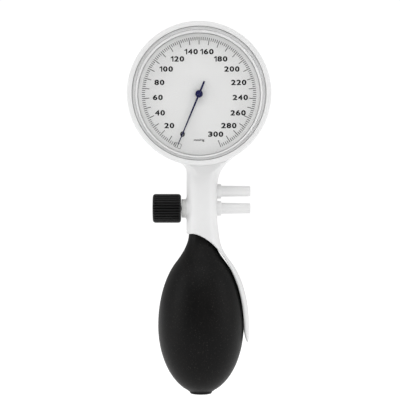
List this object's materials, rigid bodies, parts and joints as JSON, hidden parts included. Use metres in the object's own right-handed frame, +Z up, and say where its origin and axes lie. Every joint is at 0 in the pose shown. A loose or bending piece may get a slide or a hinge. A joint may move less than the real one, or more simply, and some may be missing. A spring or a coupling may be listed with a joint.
{
  "type": "palm aneroid blood pressure gauge",
  "caption": "Round dial pressure gauge on a white stem with a release valve, hose spigots and a black squeeze bulb held by a spoon grip.",
  "frame": {"origin": "on the palm grip: in the bulb's widest section, straight below the dial's centre (the bulb's own axis is 1 mm towards +X)", "axes": "+X towards the hose spigots, -Y out of the dial towards the reader, +Z up from the bulb to the dial"},
  "size_m": [0.0756, 0.046, 0.1977],
  "materials": {
    "white_abs": "satin",
    "grey_plastic": "satin",
    "dial_print": "matt",
    "clear_lens": "polished",
    "navy_pointer": "satin",
    "black_rubber": "matt",
    "black_plastic": "satin",
    "brass": "turned",
    "bronze": "rolled",
    "steel": "turned",
    "seal_rubber": "matt",
    "silicone": "matt"
  },
  "bodies": {
    "housing": {"body": "white_abs", "rear_cover": "white_abs", "rear_cover_screw_1": "steel", "rear_cover_screw_2": "steel", "rear_cover_screw_3": "steel", "bezel_ring": "white_abs", "lens": "clear_lens", "lens_gasket": "silicone", "dial_surround": "white_abs", "dial_plate": "dial_print", "hairspring": "bronze", "hairspring_stud": "brass", "bridge_plate": "brass", "bridge_pillar_1": "brass", "bridge_screw_1": "steel", "bridge_pillar_2": "brass", "bridge_screw_2": "steel", "base_plate": "brass", "base_plate_screw_1": "steel", "base_plate_screw_2": "steel", "base_plate_screw_3": "steel", "capsule_front": "bronze", "capsule_rear": "bronze", "capsule_bracket": "brass", "capsule_inlet": "brass", "gauge_hose": "silicone", "stem_cover": "white_abs", "manifold_block": "grey_plastic", "upper_spigot": "white_abs", "lower_spigot": "white_abs", "valve_housing": "grey_plastic", "valve_o_ring": "seal_rubber", "bulb": "black_rubber", "outlet_valve_body": "steel", "outlet_valve_retainer": "steel", "inlet_valve_body": "black_plastic", "inlet_valve_cage": "steel", "inlet_filter": "brass"},
    "sector": {"sector_gear": "brass", "sector_shaft": "steel"},
    "pointer_arbor": {"pointer": "navy_pointer", "pointer_cap": "navy_pointer", "pinion_arbor": "steel"},
    "rocker": {"rocker_shaft": "steel"},
    "capsule_pin": {"capsule_post": "brass"},
    "needle": {"valve_needle": "steel"},
    "knob": {"valve_knob": "black_plastic", "valve_spindle": "steel"},
    "outlet_disc": {"outlet_valve_disc": "seal_rubber"},
    "inlet_disc": {"inlet_valve_disc": "seal_rubber"}
  },
  "joints": [
    {"name": "sector_turn", "type": "hinge", "parent": "housing", "child": "sector", "pos_m": [-0.01977, -0.0045, 0.1202], "axis": [0, -1, 0], "range_deg": [0, 35]},
    {"name": "pointer_turn", "type": "hinge", "parent": "housing", "child": "pointer_arbor", "pos_m": [0, -0.0045, 0.1232], "axis": [0, 1, 0], "range_deg": [0, 315]},
    {"name": "rocker_turn", "type": "hinge", "parent": "housing", "child": "rocker", "pos_m": [0, 0, 0.1202], "axis": [1, 0, 0], "range_deg": [0, 35]},
    {"name": "capsule_push", "type": "slide", "parent": "housing", "child": "capsule_pin", "axis": [0, -1, 0], "range_m": [0, 0.0018]},
    {"name": "needle_travel", "type": "slide", "parent": "housing", "child": "needle", "axis": [-1, 0, 0], "range_m": [0, 0.0015]},
    {"name": "knob_turn", "type": "hinge", "parent": "needle", "child": "knob", "pos_m": [-0.01, 0, 0.0627], "axis": [-1, 0, 0], "range_deg": [0, 720]},
    {"name": "outlet_disc_lift", "type": "slide", "parent": "housing", "child": "outlet_disc", "axis": [0, 0, 1], "range_m": [0, 0.0009]},
    {"name": "inlet_disc_lift", "type": "slide", "parent": "housing", "child": "inlet_disc", "axis": [0, 0, 1], "range_m": [0, 0.0009]}
  ],
  "couplings": [
    {"joint": "pointer_turn", "follows": "sector_turn", "ratio": 9},
    {"joint": "rocker_turn", "follows": "sector_turn", "ratio": 1},
    {"joint": "capsule_push", "follows": "sector_turn", "m_per_rad": 0.00295},
    {"joint": "knob_turn", "follows": "needle_travel", "rad_per_m": 8377.6}
  ]
}
